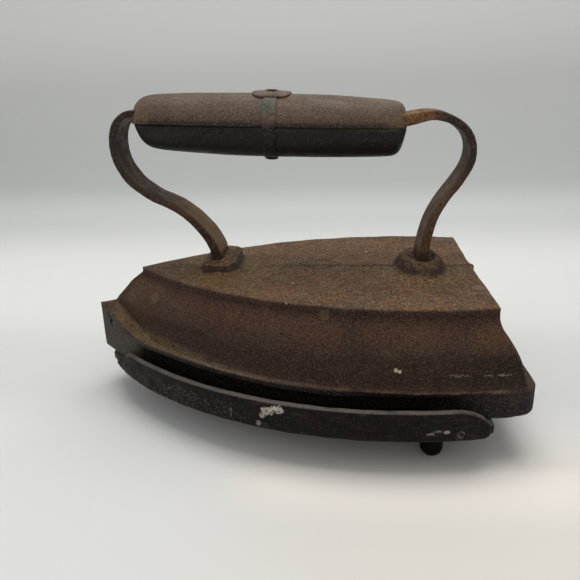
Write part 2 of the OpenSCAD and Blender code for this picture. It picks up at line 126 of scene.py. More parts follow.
# The faint ring of a rivet on the near rail: centre, radius and width.
RAIL_RING = ((66.8, -71.3, 18.0), 1.15, 0.3)


# ---------------------------------------------------------------- materials
class Shade:
    """A small helper that builds one node material around a Principled shader."""

    def __init__(self, name, rough=0.6, specular=0.4):
        self.mat = bpy.data.materials.new(name)
        self.mat.use_nodes = True
        self.tree = self.mat.node_tree
        self.shader = self.tree.nodes["Principled BSDF"]
        self.shader.inputs["Roughness"].default_value = rough
        self.shader.inputs["Specular IOR Level"].default_value = specular
        self.place = self.add("ShaderNodeTexCoord").outputs["Object"]
        self.xyz = self.add("ShaderNodeSeparateXYZ", self.place).outputs
        geometry = self.add("ShaderNodeNewGeometry")
        self.normal = self.add("ShaderNodeSeparateXYZ", geometry.outputs["Normal"]).outputs
        self.point = geometry.outputs["Pointiness"]

    def add(self, kind, *values, **options):
        node = self.tree.nodes.new(kind)
        for key, value in options.items():
            setattr(node, key, value)
        for i, value in enumerate(values):
            self.feed(node.inputs[i], value)
        return node

    def feed(self, socket, value):
        if isinstance(value, bpy.types.NodeSocket):
            self.tree.links.new(value, socket)
        elif value is not None:
            if isinstance(value, tuple) and len(value) == 3 and len(socket.default_value) == 4:
                value = (*value, 1.0)
            socket.default_value = value

    def math(self, op, a, b=0.0):
        return self.add("ShaderNodeMath", a, b, operation=op).outputs[0]

    def times(self, *values):
        out = values[0]
        for value in values[1:]:
            out = self.math("MULTIPLY", out, value)
        return out

    def invert(self, value):
        return self.math("SUBTRACT", 1.0, value)

    def grade(self, value, low, high, to_low=0.0, to_high=1.0):
        values = (value, low, high, to_low, to_high)
        return self.add("ShaderNodeMapRange", *values, interpolation_type="SMOOTHSTEP").outputs[0]

    def span(self, value, low, high, to_low=0.0, to_high=1.0):
        """The same between two stations in millimetres."""
        return self.grade(value, low * MM, high * MM, to_low, to_high)

    def noise(self, size_mm, detail=3.0, rough=0.55, warp=0.0, stretch=None, shift=0.0):
        vector = self.place
        if stretch or shift:
            node = self.add("ShaderNodeMapping", self.place)
            node.inputs["Scale"].default_value = stretch or (1, 1, 1)
            node.inputs["Location"].default_value = (shift, shift, shift)
            vector = node.outputs[0]
        node = self.add("ShaderNodeTexNoise", vector)
        node.inputs["Scale"].default_value = 1 / (size_mm * MM)
        node.inputs["Detail"].default_value = detail
        node.inputs["Roughness"].default_value = rough
        node.inputs["Distortion"].default_value = warp
        return node.outputs["Fac"]

    def mix(self, amount, first, second):
        node = self.add("ShaderNodeMix", data_type="RGBA")
        self.feed(node.inputs["Factor"], amount)
        self.feed(node.inputs["A"], first)
        self.feed(node.inputs["B"], second)
        return node.outputs["Result"]

    def spot(self, centre, radius, ragged=0.5, squash=(1, 1, 1)):
        """1 inside a ragged patch around a point, 0 outside, all in millimetres."""
        middle = tuple(c * MM for c in centre)
        scale = tuple(s / (radius * MM) for s in squash)
        away = self.add("ShaderNodeVectorMath", self.place, middle, operation="SUBTRACT")
        scaled = self.add("ShaderNodeVectorMath", away.outputs[0], scale, operation="MULTIPLY")
        length = self.add("ShaderNodeVectorMath", scaled.outputs[0], operation="LENGTH")
        rag = self.noise(radius * 0.55, 3.0, 0.6, shift=centre[0] * 0.01)
        wobble = self.math("MULTIPLY_ADD", rag, ragged * 2)
        wobble.node.inputs[2].default_value = -ragged
        return self.grade(self.math("ADD", length.outputs["Value"], wobble), 1.05, 0.9)

    def ring(self, centre, radius, width):
        """1 on a thin sphere around a point, which draws a ring on a surface."""
        middle = tuple(c * MM for c in centre)
        away = self.add("ShaderNodeVectorMath", self.place, middle, operation="DISTANCE")
        off = self.math("ABSOLUTE", self.math("SUBTRACT", away.outputs["Value"], radius * MM))
        return self.grade(off, width * MM, width * 0.4 * MM)

    def lozenge(self, centre, half_x, half_y, width):
        """1 on the outline of a lozenge seen from above."""
        dx = self.math("ABSOLUTE", self.math("SUBTRACT", self.xyz["X"], centre[0] * MM))
        dy = self.math("ABSOLUTE", self.math("SUBTRACT", self.xyz["Y"], centre[1] * MM))
        total = self.math("ADD", self.times(dx, 1 / (half_x * MM)), self.times(dy, 1 / (half_y * MM)))
        off = self.math("ABSOLUTE", self.math("SUBTRACT", total, 1.0))
        return self.grade(off, width, width * 0.3)

    def between(self, value, start, end, soft):
        """1 where a value in metres lies between two stations in millimetres."""
        rise = self.grade(value, (start - soft) * MM, (start + soft) * MM)
        fall = self.grade(value, (end + soft) * MM, (end - soft) * MM)
        return self.times(rise, fall)

    def speckle(self, colour, grain, dark, light, deep=0.6, bright=0.5):
        """Adds dark pits and light grains to a colour."""
        colour = self.mix(self.grade(grain, 0.49, 0.36, 0.0, deep), colour, dark)
        return self.mix(self.grade(grain, 0.54, 0.68, 0.0, bright), colour, light)

    def bump(self, *layers):
        """Each layer is (height, distance in millimetres, strength)."""
        last = None
        for height, distance, strength in layers:
            node = self.add("ShaderNodeBump")
            node.inputs["Strength"].default_value = strength
            node.inputs["Distance"].default_value = distance * MM
            self.feed(node.inputs["Height"], height)
            if last is not None:
                self.feed(node.inputs["Normal"], last)
            last = node.outputs[0]
        self.feed(self.shader.inputs["Normal"], last)

    def finish(self, colour, rough=None):
        self.feed(self.shader.inputs["Base Color"], colour)
        if rough is not None:
            self.feed(self.shader.inputs["Roughness"], rough)
        return self.mat


def lin(r, g, b):
    """An sRGB colour of 0 to 255 as the linear colour that a socket takes."""
    def one(v):
        v /= 255
        return v / 12.92 if v <= 0.04045 else ((v + 0.055) / 1.055) ** 2.4
    return (one(r), one(g), one(b))


def cast_iron_body():
    s = Shade("iron_body_brown", rough=0.7, specular=0.2)
    broad = s.noise(30, 4, 0.6, 0.4)
    patch = s.noise(8, 4, 0.62, 0.3, shift=3.1)
    cloud = s.noise(15, 3, 0.6, 0.6, shift=6.0)
    grain = s.noise(0.95, 3, 0.65)
    fine = s.noise(0.55, 2, 0.6, shift=1.7)
    x, y, z = s.xyz["X"], s.xyz["Y"], s.xyz["Z"]
    nz = s.normal["Z"]
    up = s.grade(nz, 0.45, 0.9)

    deck = s.mix(s.grade(broad, 0.38, 0.62), lin(96, 73, 53), lin(114, 87, 61))
    deck = s.mix(s.times(s.grade(cloud, 0.48, 0.62), 0.65), deck, lin(120, 77, 47))
    deck = s.mix(s.times(s.grade(patch, 0.48, 0.32), 0.5), deck, lin(76, 62, 48))
    tip = s.span(x, -30, -66)
    deck = s.mix(s.times(tip, 0.45), deck, lin(84, 70, 52))
    for centre in (FRONT_FOOT_X, REAR_FOOT_X):
        halo = s.spot((centre, -6, DECK_Z), 20, 0.3, (1, 0.9, 1))
        deck = s.mix(s.times(halo, s.grade(grain, 0.44, 0.6), 0.6), deck, lin(134, 112, 62))

    coarse = s.noise(1.15, 3, 0.65, stretch=(1, 0.55, 1), shift=5.5)
    deck = s.speckle(deck, coarse, lin(48, 35, 25), lin(158, 128, 94), 0.8, 0.6)

    # The flared side is painted darker than the deck as painted shade, with a painted highlight on its
    # swelling and painted shade at the neck under the deck edge, in the hollow below and low toward the
    # heel.
    flank = s.mix(s.grade(broad, 0.38, 0.62), lin(60, 41, 31), lin(70, 47, 34))
    flank = s.mix(s.times(s.grade(cloud, 0.5, 0.36), 0.5), flank, lin(54, 41, 38))
    flank = s.mix(s.times(s.grade(patch, 0.54, 0.68), 0.4), flank, lin(92, 64, 42))
    belly_painted_shading = s.times(s.between(z, DECK_Z - 12, DECK_Z - 5.5, 2.8), s.grade(broad, 0.34, 0.56, 0.3, 1.0))
    flank = s.mix(s.times(belly_painted_shading, 0.6), flank, lin(92, 65, 48))
    hollow_painted_shade = s.between(z, DECK_Z - 27.5, DECK_Z - 16.5, 3.5)
    flank = s.mix(s.times(hollow_painted_shade, s.span(x, -78, -50), 0.85), flank, lin(42, 29, 22))
    # Painted shade low on the flared side toward the heel.
    aft = s.times(s.span(x, 50, 86), s.span(z, DECK_Z - 12, DECK_Z - 19))
    flank = s.mix(s.times(aft, 0.65), flank, lin(32, 23, 20))
    # Painted shade at the neck under the deck edge.
    neck_painted_shade = s.times(s.between(z, DECK_Z - 4.0, DECK_Z - 1.6, 1.2), s.grade(nz, 0.6, 0.3))
    flank = s.mix(s.times(neck_painted_shade, 0.5), flank, lin(36, 25, 19))
    colour = s.mix(up, flank, deck)

    heel = s.times(up, s.span(x, 74, 82), s.span(z, DECK_Z - 8, DECK_Z - 14))
    colour = s.mix(s.times(heel, 0.85), colour, lin(46, 37, 31))
    # Dust lies on the lip at the foot of the flared sides and on the prow block, and a painted
    # highlight runs along the lip edge.
    lip = s.math("SUBTRACT", z, s.span(x, 0, -62, 0, LIP_LIFT * MM))
    low = s.times(s.span(lip, LIP_Z + 4.5, LIP_Z + 1.5), s.span(lip, LIP_Z - 1.2, LIP_Z))
    low = s.times(low, s.grade(nz, 0.02, 0.4))
    prow = s.times(s.span(x, -76, -84), s.span(z, PROW_Z + 3.2, PROW_Z + 1.4), s.grade(nz, 0.5, 0.9))
    ledge = s.math("MAXIMUM", s.times(low, s.span(x, -92, -84)), prow)
    dust_and_lip_highlight = s.times(ledge, s.grade(grain, 0.4, 0.6, 0.45, 0.9), s.grade(patch, 0.34, 0.56, 0.55, 1.0))
    # Painted highlight along the lip edge.
    edge = s.times(s.between(lip, LIP_Z - 0.2, LIP_Z + 1.8, 0.8), s.grade(nz, -0.5, -0.2))
    edge = s.times(edge, s.grade(patch, 0.38, 0.52, 0.4, 0.95))
    dust_and_lip_highlight = s.math("MAXIMUM", dust_and_lip_highlight, s.times(edge, s.span(x, -80, -60)))
    dust_and_lip_highlight = s.times(dust_and_lip_highlight, s.span(x, 82, 88, 1.0, 0.1))
    dusty = s.mix(s.span(x, -60, -20), lin(104, 86, 62), lin(112, 92, 78))
    colour = s.mix(dust_and_lip_highlight, colour, s.mix(s.span(x, -84, -91), dusty, lin(58, 48, 40)))

    # The upright faces of the slab and of the prow block are rubbed down to grey iron; painted shade
    # darkens the slab face away from the prow.
    side = s.times(s.grade(nz, 0.5, 0.2), s.grade(nz, -0.6, -0.3))
    block = s.times(s.span(z, PROW_Z + 0.9, PROW_Z - 0.7), s.span(x, -80, -83))
    bare = s.times(side, s.math("MAXIMUM", s.span(lip, LIP_Z + 0.9, LIP_Z - 0.6), block))
    bare_grey_and_shade = s.mix(s.span(x, -20, -80), lin(27, 27, 28), lin(72, 67, 60))
    bare_grey_and_shade = s.mix(s.times(s.grade(patch, 0.46, 0.62), 0.4), bare_grey_and_shade, lin(54, 47, 42))
    colour = s.mix(bare, colour, bare_grey_and_shade)
    # Painted shade in the long recess under the lip.
    recess_shade = s.times(s.between(x, -71.5, 70, 3.0), s.span(lip, LIP_Z - 1.2, LIP_Z - 2.6))
    recess_shade = s.times(recess_shade, s.grade(nz, 0.6, 0.3), s.grade(nz, -0.97, -0.9))
    colour = s.mix(recess_shade, colour, lin(16, 13, 13))
    sole = s.grade(nz, -0.85, -0.97)
    colour = s.mix(sole, colour, s.mix(s.grade(patch, 0.4, 0.6), lin(98, 94, 90), lin(110, 82, 62)))

    # The bosses: painted shade on the steep sides, a brown top, and a grey chipped face toward the
    # heel.
    boss = s.span(z, DECK_Z + 0.9, DECK_Z + 1.8)
    top = s.times(boss, s.span(z, DECK_Z + 3.2, DECK_Z + 4.4), up)
    colour = s.mix(s.times(top, s.span(x, 0, 10), 0.6), colour, lin(80, 58, 44))
    pit = s.times(boss, s.spot((REAR_FOOT_X, -5.5, DECK_Z + 4.4), 4.2, 0.3, (1, 0.8, 1)))
    colour = s.mix(s.times(pit, 0.75), colour, lin(38, 25, 19))
    steep_shade = s.times(boss, s.grade(nz, 0.9, 0.65), s.span(z, DECK_Z + 6.5, DECK_Z + 4.6))
    colour = s.mix(s.times(steep_shade, 0.8), colour, lin(46, 30, 24))
    chipped = s.times(boss, s.grade(s.normal["X"], 0.3, 0.6), s.span(x, -24, -29))
    chipped = s.times(chipped, s.grade(grain, 0.42, 0.54, 0.3, 1.0))
    colour = s.mix(s.times(chipped, 0.8), colour, lin(92, 88, 74))

    edge = s.grade(s.point, 0.515, 0.55)
    colour = s.mix(s.times(edge, s.grade(patch, 0.35, 0.6, 0.1, 0.45)), colour, lin(118, 100, 82))
    # Painted shade in creases, where the pointiness is low.
    cavity_shade = s.grade(s.point, 0.488, 0.45)
    colour = s.mix(s.times(cavity_shade, 0.6), colour, lin(38, 28, 23))
    seam = s.times(s.between(y, -0.1, 0.9, 0.3), up, s.span(x, -10, 0))
    seam = s.times(seam, s.grade(patch, 0.38, 0.52, 0.25, 0.9))
    colour = s.mix(seam, colour, lin(46, 32, 25))
    mark = s.times(s.lozenge(*DECK_LOZENGE), up, s.grade(patch, 0.32, 0.46, 0.5, 1.0))
    colour = s.mix(s.times(mark, 0.85), colour, lin(38, 27, 21))

    colour = s.speckle(colour, grain, lin(28, 19, 15), lin(108, 82, 60), 0.55, 0.22)
    colour = s.speckle(colour, fine, lin(24, 16, 12), lin(128, 98, 72), 0.6, 0.36)
    # Flecks, and painted shade in the blow holes.
    for centre, radius, tone in BODY_MARKS:
        fleck = s.spot(centre, radius, 0.5)
        colour = s.mix(s.times(fleck, 0.9 if radius < 2 else 0.5), colour, lin(*tone))
    for centre, radius, amount in SCRAPES:
        scrape = s.times(s.spot(centre, radius, 0.9, (0.6, 1.0, 4.5)), s.grade(fine, 0.46, 0.56))
        colour = s.mix(s.times(scrape, amount), colour, lin(160, 146, 132))
    rough = s.grade(s.math("ADD", s.times(patch, 0.6), s.times(fine, 0.4)), 0.35, 0.65, 0.82, 0.6)
    cut = s.invert(s.math("MAXIMUM", mark, seam))
    s.bump((broad, 1.2, 0.25), (patch, 0.6, 0.4), (grain, 0.36, 0.7), (fine, 0.2, 0.6), (cut, 0.3, 0.6))
    return s.finish(colour, rough)


def strap_iron():
    s = Shade("strap_forged_brown", rough=0.6, specular=0.18)
    broad = s.noise(12, 4, 0.6, 0.5)
    patch = s.noise(4.5, 4, 0.6, 0.2, shift=2.3)
    grain = s.noise(0.9, 3, 0.65)
    x, z = s.xyz["X"], s.xyz["Z"]
    colour = s.mix(s.grade(broad, 0.38, 0.62), lin(78, 59, 43), lin(98, 74, 52))
    side = s.grade(s.math("ABSOLUTE", s.normal["Y"]), 0.6, 0.85)
    worn_side = s.mix(s.span(z, 112, 92), lin(42, 35, 31), lin(92, 66, 50))
    colour = s.mix(s.times(side, s.grade(patch, 0.4, 0.6, 0.5, 0.85)), colour, worn_side)
    front = s.times(s.span(x, -40, -60), s.span(z, 84, 98))
    colour = s.mix(s.times(front, 0.6), colour, lin(48, 39, 34))
    # Painted highlight on the faces turned toward the heel, low on the front strap.
    fore_highlight = s.times(s.span(x, -20, -32), s.span(z, 100, 88), s.grade(s.normal["X"], 0.35, 0.7))
    colour = s.mix(s.times(fore_highlight, 0.75), colour, lin(126, 100, 68))
    nx = s.normal["X"]
    # Painted shadow line where the near and rear faces of the rear strap meet.
    arris_shadow = s.times(s.span(x, 40, 48), s.span(z, 112, 100), s.grade(nx, 0.25, 0.5))
    arris_shadow = s.times(arris_shadow, s.grade(nx, 0.95, 0.75))
    colour = s.mix(s.times(arris_shadow, 0.8), colour, lin(40, 22, 18))
    aft = s.times(s.span(x, 40, 48), s.span(z, 112, 96), s.grade(s.normal["X"], 0.86, 0.97))
    colour = s.mix(s.times(aft, 0.5), colour, lin(112, 84, 60))
    # Painted shade on the faces that turn downward.
    under_shade = s.grade(s.normal["Z"], 0.05, -0.45)
    colour = s.mix(s.times(under_shade, 0.65), colour, lin(44, 33, 29))
    foot = s.times(s.span(z, 98, 80), s.span(x, 0, -10))
    colour = s.mix(s.times(foot, side, 0.85), colour, lin(48, 24, 19))
    root = s.times(s.span(z, 71.5, 69.0), s.grade(grain, 0.44, 0.54, 0.4, 0.9))
    colour = s.mix(root, colour, lin(40, 22, 17))
    loop = s.span(z, 98, 112)
    colour = s.mix(s.times(loop, 0.55), colour, lin(46, 38, 33))
    rust = s.times(s.span(x, 40, 50), s.span(x, 66, 57), s.span(z, 108, 120))
    colour = s.mix(s.times(rust, s.grade(patch, 0.36, 0.58, 0.2, 0.85)), colour, lin(140, 98, 60))
    colour = s.mix(s.times(s.grade(patch, 0.54, 0.7), 0.4), colour, lin(104, 74, 52))
    edge = s.grade(s.point, 0.52, 0.57)
    colour = s.mix(s.times(edge, 0.3), colour, lin(104, 92, 76))
    colour = s.speckle(colour, grain, lin(28, 20, 17), lin(138, 118, 94), 0.55, 0.3)
    rough = s.grade(patch, 0.35, 0.65, 0.74, 0.5)
    s.bump((broad, 0.6, 0.3), (patch, 0.35, 0.4), (grain, 0.28, 0.6))
    return s.finish(colour, rough)


def shell_paint(name, dark):
    s = Shade(name, rough=0.5, specular=0.25)
    broad = s.noise(24, 4, 0.6, 0.6)
    streak = s.noise(5, 4, 0.65, 0.2, stretch=(0.3, 1, 1), shift=5.0)
    grain = s.noise(0.8, 3, 0.65)
    if dark:
        colour = s.mix(s.grade(broad, 0.36, 0.64), lin(19, 18, 19), lin(30, 26, 26))
        colour = s.mix(s.times(s.grade(streak, 0.54, 0.7), 0.5), colour, lin(44, 30, 28))
        # Painted shade on the underside.
        belly_painted_shading = s.grade(s.normal["Z"], -0.4, -0.75)
        colour = s.mix(s.times(belly_painted_shading, 0.85), colour, lin(10, 8, 9))
        low, light = lin(9, 8, 8), lin(84, 76, 72)
    else:
        colour = s.mix(s.grade(broad, 0.36, 0.64), lin(90, 73, 60), lin(103, 85, 69))
        colour = s.mix(s.times(s.grade(streak, 0.54, 0.7), 0.45), colour, lin(106, 80, 62))
        # Painted shade on the faces that turn sideways and down, darkest near the seam.
        under_shade = s.grade(s.normal["Z"], 0.5, 0.15)
        colour = s.mix(s.times(under_shade, 0.35), colour, lin(78, 60, 50))
        colour = s.mix(s.times(s.grade(s.normal["Z"], 0.3, 0.02), 0.8), colour, lin(36, 28, 25))
        ends = s.span(s.math("ABSOLUTE", s.math("ADD", s.xyz["X"], -GRIP_MIDDLE_X * MM)), 42, 57)
        colour = s.mix(s.times(ends, s.grade(streak, 0.42, 0.6), 0.5), colour, lin(122, 96, 68))
        patina = s.spot((-8.4, -11.0, 133.4), 7.5, 0.3, (1.7, 0.5, 1.05))
        patina = s.times(patina, s.grade(streak, 0.36, 0.5, 0.45, 1.0))
        colour = s.mix(s.times(patina, 0.7), colour, lin(82, 84, 72))
        low, light = lin(42, 32, 26), lin(142, 122, 102)
    colour = s.speckle(colour, grain, low, light, 0.55, 0.4)
    fleck = s.grade(s.noise(2.2, 2, 0.5, shift=9.0), 0.76, 0.79)
    colour = s.mix(s.times(fleck, 0.5), colour, lin(150, 140, 124))
    rough = s.grade(streak, 0.35, 0.65, 0.68, 0.5)
    s.bump((broad, 0.5, 0.25), (streak, 0.25, 0.3), (grain, 0.2, 0.5))
    return s.finish(colour, rough)


def band_metal():
    s = Shade("band_worn_paint", rough=0.55, specular=0.25)
    patch = s.noise(3.5, 4, 0.6, 0.3)
    grain = s.noise(0.9, 3, 0.65)
    z = s.xyz["Z"]
    brown = s.mix(s.grade(patch, 0.4, 0.6), lin(94, 77, 64), lin(108, 89, 73))
    green = s.mix(s.grade(patch, 0.4, 0.6), lin(86, 85, 73), lin(100, 88, 74))
    colour = s.mix(s.times(s.span(z, 129.5, 131.5), s.span(z, 137.2, 136.0)), brown, green)
    black = s.mix(s.grade(patch, 0.4, 0.6), lin(22, 21, 22), lin(34, 30, 30))
    # Painted shade just above the seam, as on the brown shell.
    colour = s.mix(s.times(s.span(z, 129.5, 126.0), 0.7), colour, lin(42, 33, 29))
    colour = s.mix(s.span(z, 126.2, 125.4), colour, black)
    # Painted shade on the underside, as on the black shell.
    colour = s.mix(s.times(s.span(z, 122, 117), 0.8), colour, lin(10, 8, 9))
    colour = s.speckle(colour, grain, lin(28, 23, 20), lin(136, 118, 98), 0.5, 0.3)
    s.bump((patch, 0.2, 0.35), (grain, 0.2, 0.5))
    return s.finish(colour, s.grade(patch, 0.35, 0.65, 0.68, 0.5))


def trivet_iron():
    s = Shade("trivet_black_iron", rough=0.5, specular=0.1)
    broad = s.noise(22, 4, 0.6, 0.5)
    patch = s.noise(5, 4, 0.66, 0.3, shift=4.0)
    streak = s.noise(2.4, 4, 0.7, 0.2, stretch=(0.25, 0.25, 1.2), shift=2.0)
    grain = s.noise(0.8, 3, 0.7)
    x, z = s.xyz["X"], s.xyz["Z"]
    colour = s.mix(s.grade(broad, 0.36, 0.64), lin(22, 15, 14), lin(23, 20, 20))
    colour = s.mix(s.times(s.grade(patch, 0.5, 0.66), 0.5), colour, lin(40, 24, 22))
    colour = s.mix(s.times(s.grade(streak, 0.56, 0.66), 0.5), colour, lin(62, 54, 52))
    # Painted reflection: the rail is lighter toward the prow.
    bow_reflection = s.span(x, -30, -66)
    colour = s.mix(s.times(bow_reflection, 0.2), colour, lin(40, 37, 33))
    rim = s.times(s.grade(s.normal["Z"], 0.3, 0.8), s.span(z, RAIL_TOP - 1.6, RAIL_TOP - 0.6))
    tail = s.times(s.grade(s.normal["Z"], 0.3, 0.8), s.span(x, 62, 68), s.span(z, 18.0, 19.5))
    rim = s.math("MAXIMUM", rim, tail)
    colour = s.mix(s.times(rim, s.grade(streak, 0.35, 0.5, 0.6, 0.95)), colour, lin(100, 92, 86))
    colour = s.mix(s.times(s.grade(s.point, 0.515, 0.56), 0.35), colour, lin(84, 76, 70))
    nose = s.times(s.span(x, -78, -84), s.grade(s.normal["Z"], 0.6, 0.9))
    colour = s.mix(s.times(nose, 0.6), colour, lin(84, 74, 52))
    colour = s.speckle(colour, grain, lin(11, 8, 9), lin(78, 70, 68), 0.6, 0.35)
    chips = s.noise(1.3, 4, 0.75, 0.5, shift=8.0)
    for centre, radius, ragged, squash, tone, amount in RAIL_CHIPS:
        chip = s.times(s.spot(centre, radius, ragged, squash), s.grade(chips, 0.43, 0.49))
        colour = s.mix(s.times(chip, amount), colour, lin(*tone))
    halo = s.times(s.ring(*RAIL_RING), s.grade(grain, 0.4, 0.5))
    colour = s.mix(s.times(halo, 0.7), colour, lin(120, 114, 108))
    wear = s.times(s.between(x, -60, -20, 5), s.span(z, 24.5, 22.5), s.grade(grain, 0.56, 0.64))
    colour = s.mix(s.times(wear, 0.6), colour, lin(112, 104, 100))
    s.bump((broad, 0.6, 0.3), (patch, 0.35, 0.4), (streak, 0.12, 0.3), (grain, 0.24, 0.6))
    return s.finish(colour, s.grade(patch, 0.35, 0.65, 0.68, 0.45))


def foot_iron():
    s = Shade("foot_blue_black", rough=0.45, specular=0.1)
    patch = s.noise(3.5, 4, 0.6, 0.3)
    grain = s.noise(0.8, 3, 0.7)
    colour = s.mix(s.grade(patch, 0.4, 0.6), lin(4, 4, 8), lin(7, 6, 11))
    colour = s.speckle(colour, grain, lin(3, 3, 4), lin(34, 32, 36), 0.5, 0.2)
    s.bump((patch, 0.25, 0.35), (grain, 0.16, 0.5))
    return s.finish(colour, s.grade(patch, 0.35, 0.65, 0.6, 0.42))


def rivet_iron():
    s = Shade("rivet_dark_iron", rough=0.55, specular=0.25)
    patch = s.noise(1.6, 4, 0.6)
    dark = s.mix(s.grade(patch, 0.4, 0.6), lin(16, 14, 14), lin(30, 27, 26))
    brown = s.mix(s.grade(patch, 0.4, 0.6), lin(90, 74, 62), lin(108, 88, 73))
    s.bump((patch, 0.12, 0.45),)
    colour = s.mix(s.span(s.xyz["Z"], 135, 137), dark, brown)
    return s.finish(colour, s.grade(patch, 0.35, 0.65, 0.68, 0.5))


def packing_wood():
    s = Shade("packing_raw_wood", rough=0.8)
    ring = s.noise(2.0, 4, 0.6, 0.8, stretch=(0.08, 1, 1))
    colour = s.mix(s.grade(ring, 0.3, 0.7), lin(132, 98, 66), lin(168, 130, 90))
    s.bump((ring, 0.15, 0.4),)
    return s.finish(colour)


# ---------------------------------------------------------------- meshes
def settle(obj):
    """Applies every modifier of an object to its mesh."""
    bpy.context.view_layer.update()
    graph = bpy.context.evaluated_depsgraph_get()
    made = bpy.data.meshes.new_from_object(obj.evaluated_get(graph), depsgraph=graph)
    old = obj.data
    obj.modifiers.clear()
    obj.data = made
    bpy.data.meshes.remove(old)


def read(mesh, kind="co"):
    flat = np.empty(len(mesh.vertices) * 3)
    mesh.vertices.foreach_get(kind, flat)
    return flat.reshape(-1, 3)


def write(mesh, where):
    mesh.vertices.foreach_set("co", where.ravel())
    mesh.update()


def ripple(points, size, seed=0.0):
    """Smooth noise between about -1 and 1 at each point; points and size in the same unit."""
    return np.array([noise.noise(Vector(p / size) + Vector((seed, seed, 0))) for p in points])


def smooth(low, high, value):
    t = np.clip((value - low) / (high - low), 0, 1)
    return t * t * (3 - 2 * t)


def bell(value):
    return np.exp(-value * value)


def place_of(obj, node, body, material):
    """Puts a finished piece in the place of its CAD node."""
    obj.data.name = obj.name
    obj.data.materials.clear()
    obj.data.materials.append(material)
    obj.data.shade_smooth()
    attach(obj, body)
    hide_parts(node)
    return obj


def worn(node, name, body, material, voxel, passes, swell, wave, size, shape=None, most=0):
    """A softened, slightly uneven copy of a CAD node, which takes its place. Sizes in millimetres."""
    obj = bpy.data.objects.new(name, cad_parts[node].data.copy())
    bpy.context.scene.collection.objects.link(obj)
    skin = obj.modifiers.new("skin", "REMESH")
    skin.mode = "VOXEL"
    skin.voxel_size = voxel * MM
    wear = obj.modifiers.new("wear", "SMOOTH")
    wear.factor = 0.5
    wear.iterations = passes
    settle(obj)
    where = read(obj.data) / MM
    normals = read(obj.data, "normal")
    push = swell + ripple(where, size) * wave
    where += normals * push[:, None]
    if shape:
        where = shape(where, normals)
    low, high = np.array(cad_box) / MM
    write(obj.data, np.clip(where, low, high) * MM)
    if most:
        thin = obj.modifiers.new("thin", "DECIMATE")
        thin.ratio = most / (2 * len(obj.data.polygons))
        settle(obj)
    return place_of(obj, node, body, material)


def quad_object(name, points, faces):
    mesh = bpy.data.meshes.new(name)
    mesh.from_pydata([tuple(p) for p in points * MM], [], faces)
    work = bmesh.new()
    work.from_mesh(mesh)
    bmesh.ops.remove_doubles(work, verts=work.verts, dist=0.01 * MM)
    bmesh.ops.dissolve_degenerate(work, dist=0.005 * MM, edges=work.edges)
    bmesh.ops.recalc_face_normals(work, faces=work.faces)
    work.to_mesh(mesh)
    work.free()
    obj = bpy.data.objects.new(name, mesh)
    bpy.context.scene.collection.objects.link(obj)
    return obj


def loft(name, rows, closed_rows=False):
    """A closed skin through rows of points; each row is a closed loop."""
    rows = np.array(rows)
    count, width = rows.shape[:2]
    faces = []
    for i in range(count if closed_rows else count - 1):
        j = (i + 1) % count
        for k in range(width):
            m = (k + 1) % width
            faces.append((i * width + k, i * width + m, j * width + m, j * width + k))
    if not closed_rows:
        faces.append(tuple(range(width)))
        faces.append(tuple((count - 1) * width + k for k in reversed(range(width))))
    return quad_object(name, rows.reshape(-1, 3), faces)


# ---------------------------------------------------------------- grip
def barrel_radius(x, side, low_slant):
    """Radius of the barrel at a station, with the drawn-in ends of the lower shell."""
    u = x / GRIP_HALF
    taper = GRIP_TAPER + (GRIP_DROOP if side * u > 0 else 0)
    half = GRIP_HALF + (0.55 if x < 0 else -0.05)
    sharp = 16 if x < 0 else 34
    if side < 0 and x < 0:
        half -= 0.9 + 2.2 * low_slant
        sharp = 16 + 8 * low_slant
        taper += 0.5 * low_slant
    elif side < 0:
        half -= 0.2 + 0.9 * low_slant
    body = GRIP_RADIUS - taper * u * u
    return body * max(0.0, 1 - abs(x / half) ** sharp) ** (1 / 3)


def grip_shell(name, node, side, material):
    """Half barrel of pressed sheet: an outer skin, an inner skin and a rolled rim at the seam."""
    turns = 44
    stations = [
        GRIP_HALF * -math.cos(math.pi * i / 150) - 0.6 * (1 - i / 150) ** 8 for i in range(151)
    ]
    rows = []
    for x in stations:
        row = []
        for layer in (0, 1):
            order = range(turns + 1) if layer == 0 else range(turns, -1, -1)
            for k in order:
                angle = math.pi * k / turns
                slant = math.sin(angle)
                radius = barrel_radius(x, side, slant)
                if layer == 0:
                    radius -= 0.05 if side > 0 else 0.3
                    rim = 0.5 * bell(slant * GRIP_RADIUS / 0.5)
                    radius -= rim
                else:
                    radius -= 1.2
                radius = max(radius, 0.0)
                lift = radius * slant
                if radius > 0:
                    lift = max(lift, 0.03)
                middle = GRIP_MIDDLE + ALONG * x
                row.append(middle + ACROSS * radius * math.cos(angle) + ABOVE * side * lift)
        rows.append(row)
    obj = loft(name, rows)
    where = read(obj.data) / MM
    normals = read(obj.data, "normal")
    # Handling dents, and small waves left by the press.
    push = ripple(where * np.array([0.6, 1, 1]), 9.0, 4.0 * side) * 0.16 - 0.12
    push += ripple(where, 2.2, 7.0) * 0.05
    write(obj.data, (where + normals * push[:, None]) * MM)
    return place_of(obj, node, "iron", material)


def on_band(angle, radius, x):
    """A point round the grip; angle 0 is the top and positive toward the near side."""
    middle = GRIP_MIDDLE + ALONG * (BAND_SHIFT + x)
    return middle - ACROSS * radius * math.sin(angle) + ABOVE * radius * math.cos(angle)


def grip_band(material):
    low, high = BAND_RISE - 0.3, BAND_RISE - 0.02
    half = BAND_WIDTH / 2 - 0.02
    section = [(-half, low), (-half, high - 0.12), (-half + 0.2, high)]
    section += [(half * f, high) for f in (-0.6, -0.2, 0.2, 0.6)]
    section += [(half - 0.2, high), (half, high - 0.12), (half, low)]
    rows = []
    for i in range(160):
        angle = 2 * math.pi * i / 160
        rows.append([on_band(angle, r, x) for x, r in section])
    obj = loft("grip_band_strip", rows, closed_rows=True)
    return place_of(obj, "grip_band", "iron", material)


